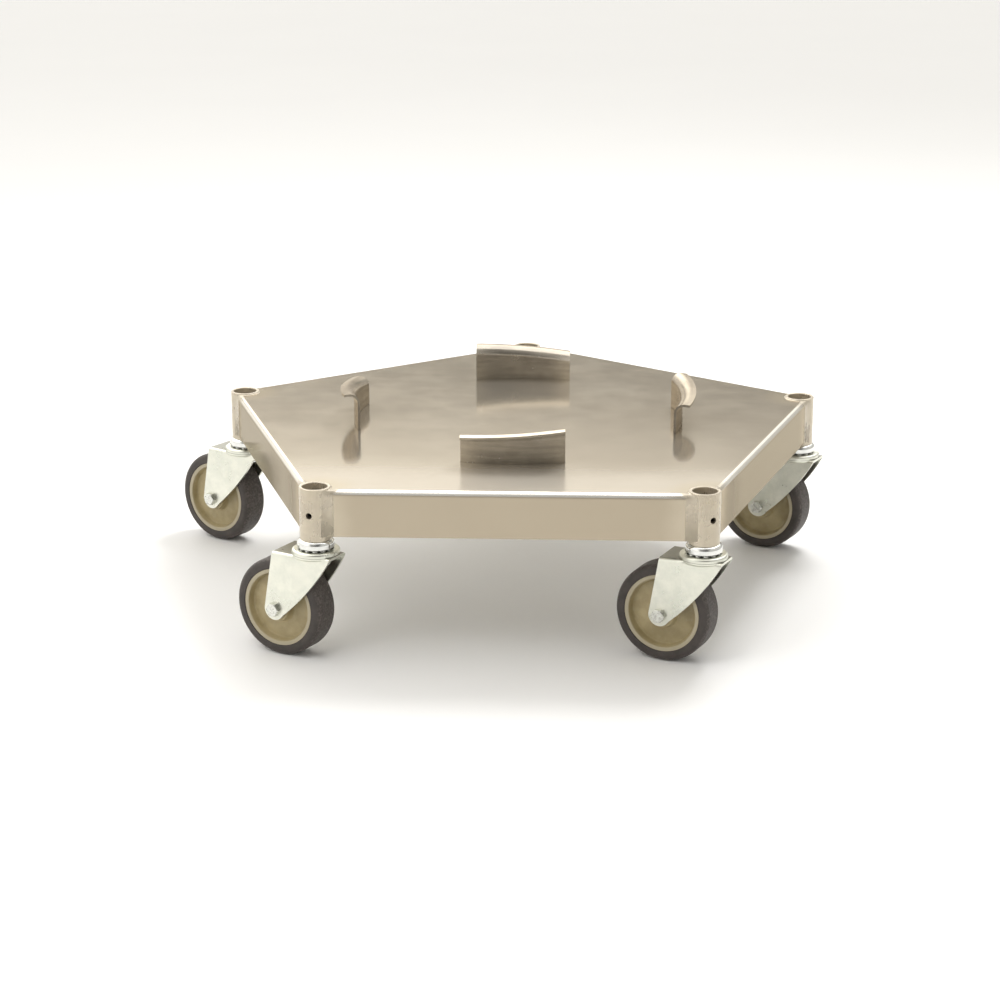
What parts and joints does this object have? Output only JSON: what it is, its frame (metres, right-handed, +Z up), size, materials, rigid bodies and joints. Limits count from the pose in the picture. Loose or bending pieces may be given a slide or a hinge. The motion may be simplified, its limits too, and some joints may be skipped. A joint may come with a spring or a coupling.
{
  "type": "drum dolly",
  "caption": "Low pentagonal stainless drum dolly: folded deck with down-turned skirts, chime cleats on top, and a swivel caster in a socket tube at each corner.",
  "frame": {"origin": "on the floor, straight below the centre of the deck", "axes": "+Z up, -Y towards the front straight side of the deck, +X to the right seen from the front"},
  "size_m": [0.7372, 0.6785, 0.2191],
  "materials": {
    "stainless_deck": "semi-bright rolled stainless sheet, faint grain along the deck",
    "stainless_tube": "stainless tube, welds ground and blended",
    "stainless_cleat": "satin stainless sheet",
    "dark_pin": "blackened spring steel",
    "stem_steel": "turned steel, dull zinc",
    "bright_race": "bright plated",
    "zinc_fork": "pale zinc plate, slightly green",
    "zinc_fastener": "bright zinc plate",
    "acetal_bearing": "natural acetal",
    "tan_core": "moulded polypropylene, tan",
    "grey_tread": "grey thermoplastic rubber, satin"
  },
  "bodies": {
    "frame": {"deck_pan": "stainless_deck", "socket_front_left": "stainless_tube", "socket_front_right": "stainless_tube", "socket_right": "stainless_tube", "socket_back": "stainless_tube", "socket_left": "stainless_tube", "cleat_front": "stainless_cleat", "cleat_right": "stainless_cleat", "cleat_back": "stainless_cleat", "cleat_left": "stainless_cleat", "stem_lock_pins": "dark_pin", "caster_stem_front_left": "stem_steel", "caster_stem_front_right": "stem_steel", "caster_stem_right": "stem_steel", "caster_stem_back": "stem_steel", "caster_stem_left": "stem_steel", "top_race_front_left": "bright_race", "top_race_front_right": "bright_race", "top_race_right": "bright_race", "top_race_back": "bright_race", "top_race_left": "bright_race", "lower_races": "bright_race", "bearing_balls": "bright_race"},
    "yoke_front_left": {"fork_front_left": "zinc_fork", "axle_bolt_front_left": "zinc_fastener", "axle_nut_front_left": "zinc_fastener", "axle_sleeve_front_left": "zinc_fastener"},
    "wheel_front_left": {"wheel_bearing_front_left": "acetal_bearing", "wheel_core_front_left": "tan_core", "wheel_tread_front_left": "grey_tread"},
    "yoke_front_right": {"fork_front_right": "zinc_fork", "axle_bolt_front_right": "zinc_fastener", "axle_nut_front_right": "zinc_fastener", "axle_sleeve_front_right": "zinc_fastener"},
    "wheel_front_right": {"wheel_bearing_front_right": "acetal_bearing", "wheel_core_front_right": "tan_core", "wheel_tread_front_right": "grey_tread"},
    "yoke_right": {"fork_right": "zinc_fork", "axle_bolt_right": "zinc_fastener", "axle_nut_right": "zinc_fastener", "axle_sleeve_right": "zinc_fastener"},
    "wheel_right": {"wheel_bearing_right": "acetal_bearing", "wheel_core_right": "tan_core", "wheel_tread_right": "grey_tread"},
    "yoke_back": {"fork_back": "zinc_fork", "axle_bolt_back": "zinc_fastener", "axle_nut_back": "zinc_fastener", "axle_sleeve_back": "zinc_fastener"},
    "wheel_back": {"wheel_bearing_back": "acetal_bearing", "wheel_core_back": "tan_core", "wheel_tread_back": "grey_tread"},
    "yoke_left": {"fork_left": "zinc_fork", "axle_bolt_left": "zinc_fastener", "axle_nut_left": "zinc_fastener", "axle_sleeve_left": "zinc_fastener"},
    "wheel_left": {"wheel_bearing_left": "acetal_bearing", "wheel_core_left": "tan_core", "wheel_tread_left": "grey_tread"}
  },
  "joints": [
    {"name": "swivel_front_left", "type": "hinge", "parent": "frame", "child": "yoke_front_left", "pos_m": [-0.19409, -0.26714, 0.1166], "axis": [0, 0, 1], "continuous": true},
    {"name": "roll_front_left", "type": "hinge", "parent": "yoke_front_left", "child": "wheel_front_left", "pos_m": [-0.22764, -0.2493, 0.0508], "axis": [-0.4695, -0.8829, 0], "continuous": true},
    {"name": "swivel_front_right", "type": "hinge", "parent": "frame", "child": "yoke_front_right", "pos_m": [0.19409, -0.26714, 0.1166], "axis": [0, 0, 1], "continuous": true},
    {"name": "roll_front_right", "type": "hinge", "parent": "yoke_front_right", "child": "wheel_front_right", "pos_m": [0.15937, -0.25168, 0.0508], "axis": [-0.4067, -0.9135, 0], "continuous": true},
    {"name": "swivel_right", "type": "hinge", "parent": "frame", "child": "yoke_right", "pos_m": [0.31404, 0.10204, 0.1166], "axis": [0, 0, 1], "continuous": true},
    {"name": "roll_right", "type": "hinge", "parent": "yoke_right", "child": "wheel_right", "pos_m": [0.28018, 0.11929, 0.0508], "axis": [-0.454, -0.891, 0], "continuous": true},
    {"name": "swivel_back", "type": "hinge", "parent": "frame", "child": "yoke_back", "pos_m": [0, 0.3302, 0.1166], "axis": [0, 0, 1], "continuous": true},
    {"name": "roll_back", "type": "hinge", "parent": "yoke_back", "child": "wheel_back", "pos_m": [-0.03291, 0.3492, 0.0508], "axis": [-0.5, -0.866, 0], "continuous": true},
    {"name": "swivel_left", "type": "hinge", "parent": "frame", "child": "yoke_left", "pos_m": [-0.31404, 0.10204, 0.1166], "axis": [0, 0, 1], "continuous": true},
    {"name": "roll_left", "type": "hinge", "parent": "yoke_left", "child": "wheel_left", "pos_m": [-0.34536, 0.12356, 0.0508], "axis": [-0.5664, -0.8241, 0], "continuous": true}
  ]
}
